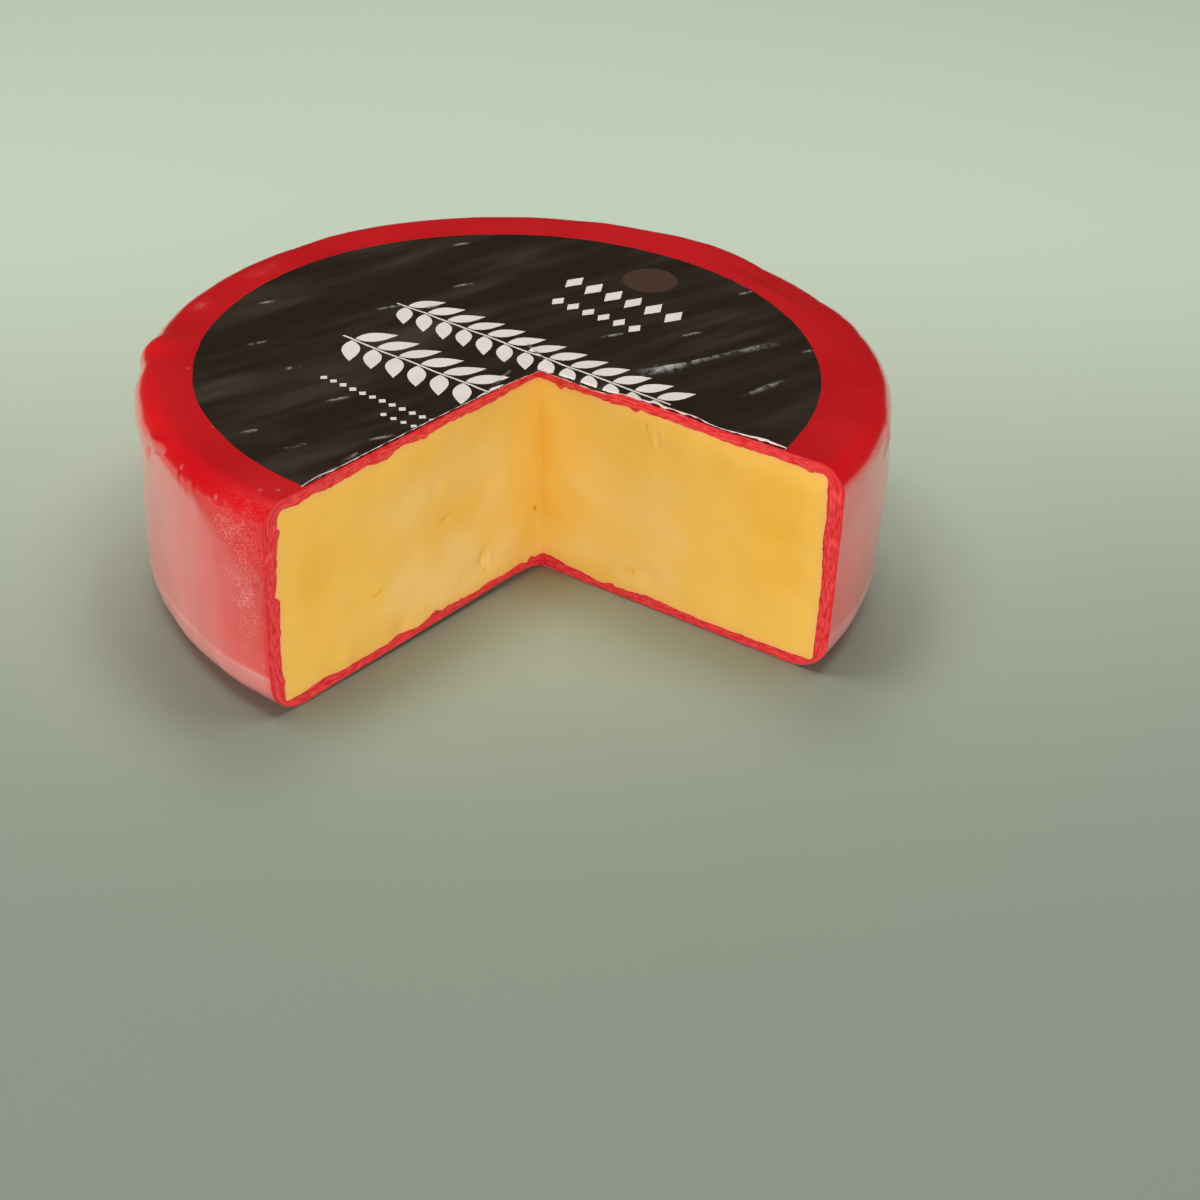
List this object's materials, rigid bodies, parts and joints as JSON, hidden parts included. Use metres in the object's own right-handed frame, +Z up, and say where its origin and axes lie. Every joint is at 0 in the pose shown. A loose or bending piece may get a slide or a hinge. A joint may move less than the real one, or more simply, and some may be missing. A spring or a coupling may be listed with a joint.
{
  "type": "waxed cheddar cheese wheel",
  "caption": "Low round waxed cheddar wheel with a wedge cut out, its orange paste showing inside the red coat, and a dark round film on top.",
  "frame": {"origin": "middle of the wheel's flat underside, on the surface that it rests on", "axes": "+Z up, square to the flat faces; the taken wedge opens between +X and -Y"},
  "size_m": [0.2498, 0.2504, 0.0776],
  "materials": {
    "cheese": "smooth, slightly waxy cut cheese, deeper orange towards the middle of the wheel",
    "red_wax": "glossy dipped red cheese wax, lumpy, with fine orange-peel patches",
    "film": "satin near-black film with soft wrinkles and pale simple shapes"
  },
  "bodies": {
    "root": {"cheese_paste": "cheese", "wax_coat": "red_wax", "film_label": "film"}
  },
  "joints": []
}
